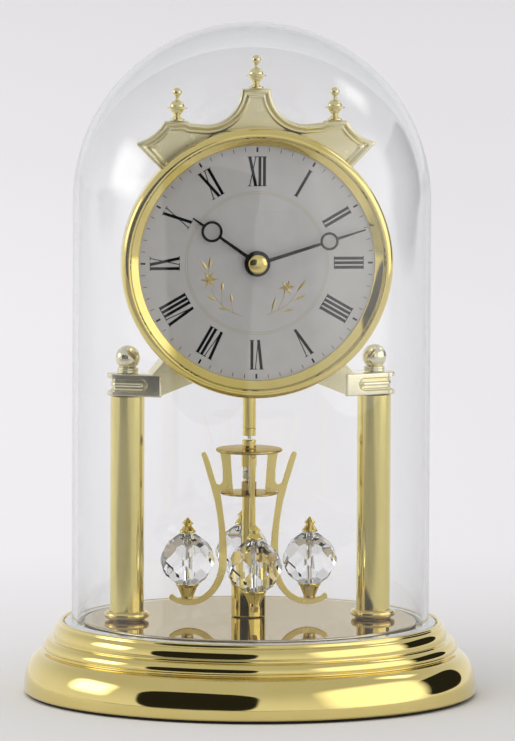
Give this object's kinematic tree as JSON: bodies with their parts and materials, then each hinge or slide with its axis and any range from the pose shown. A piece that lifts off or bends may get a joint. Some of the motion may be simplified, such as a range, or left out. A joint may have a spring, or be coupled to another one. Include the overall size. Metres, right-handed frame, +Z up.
{
  "type": "anniversary clock",
  "caption": "Mantel clock with a turning ball pendulum under a lift-off glass dome, on a round stepped brass base with a mirror platform and two columns.",
  "frame": {"origin": "centre of the felt on the underside of the base", "axes": "+Z up; +X to the right of someone who faces the dial; the dial faces -Y"},
  "size_m": [0.2, 0.2, 0.2984],
  "materials": {
    "polished_brass": "polished and lacquered, mirror-like",
    "satin_brass": "satin gold, pressed and moulded pieces",
    "mirror_brass": "mirror polished",
    "dial_metal": "silvered, finely brushed, printed in black and gold",
    "black_paint": "gloss black",
    "black_plastic": "fine moulded grain",
    "white_plastic": "moulded",
    "steel": "bright plated",
    "circuit_board": "green solder mask",
    "battery_skin": "printed foil, plain",
    "felt": "black felt",
    "crystal": "cut clear acrylic",
    "dome_glass": "clear blown glass"
  },
  "bodies": {
    "frame": {"base_shell": "polished_brass", "base_cover": "black_plastic", "base_felt": "felt", "platform": "mirror_brass", "column_left": "polished_brass", "column_right": "polished_brass", "foot_ring_left": "polished_brass", "foot_ring_right": "polished_brass", "tie_bolt_left": "steel", "tie_bolt_right": "steel", "ball_finial_left": "polished_brass", "ball_finial_right": "polished_brass", "bridge": "satin_brass", "bezel": "polished_brass", "dial_plate": "dial_metal", "pediment": "satin_brass", "pediment_finial_left": "polished_brass", "pediment_finial_centre": "polished_brass", "pediment_finial_right": "polished_brass", "movement_housing": "black_plastic", "movement_cover": "white_plastic", "circuit_board": "circuit_board", "battery": "battery_skin", "contact_plus": "steel", "contact_minus": "steel", "pendulum_drive": "black_plastic", "suspension_tube": "polished_brass", "guide_tube": "polished_brass", "guide_tube_screw": "steel"},
    "dome": {"glass_dome": "dome_glass"},
    "pendulum": {"suspension_spindle": "steel", "pendulum_collar": "polished_brass", "upper_disc": "polished_brass", "hub_sleeve": "polished_brass", "rating_nut": "steel", "lower_disc": "polished_brass", "pendulum_rod": "polished_brass", "arm_right": "polished_brass", "cup_right": "polished_brass", "crystal_right": "crystal", "cap_right": "polished_brass", "arm_back": "polished_brass", "cup_back": "polished_brass", "crystal_back": "crystal", "cap_back": "polished_brass", "arm_left": "polished_brass", "cup_left": "polished_brass", "crystal_left": "crystal", "cap_left": "polished_brass", "arm_front": "polished_brass", "cup_front": "polished_brass", "crystal_front": "crystal", "cap_front": "polished_brass"},
    "minute": {"minute_hand": "black_paint", "hand_nut": "polished_brass", "minute_arbor": "steel"},
    "hour": {"hour_hand": "black_paint", "hour_wheel": "polished_brass"},
    "setting": {"minute_wheel": "polished_brass", "setting_knob": "white_plastic"}
  },
  "joints": [
    {"name": "dome_lift", "type": "slide", "parent": "frame", "child": "dome", "axis": [0, 0, 1], "range_m": [0, 0.27]},
    {"name": "pendulum_turn", "type": "hinge", "parent": "frame", "child": "pendulum", "pos_m": [0, 0.008, 0.1], "axis": [0, 0, 1], "range_deg": [-180, 180]},
    {"name": "minute_hand_spin", "type": "hinge", "parent": "frame", "child": "minute", "pos_m": [0, -0.02, 0.1941], "axis": [0, 1, 0], "continuous": true},
    {"name": "hour_hand_spin", "type": "hinge", "parent": "frame", "child": "hour", "pos_m": [0, -0.02, 0.1941], "axis": [0, 1, 0], "continuous": true},
    {"name": "setting_spin", "type": "hinge", "parent": "frame", "child": "setting", "pos_m": [0.00764, -0.01, 0.20174], "axis": [0, 1, 0], "continuous": true}
  ],
  "couplings": [
    {"joint": "hour_hand_spin", "follows": "minute_hand_spin", "ratio": 0.083333},
    {"joint": "setting_spin", "follows": "minute_hand_spin", "ratio": -0.33333}
  ]
}
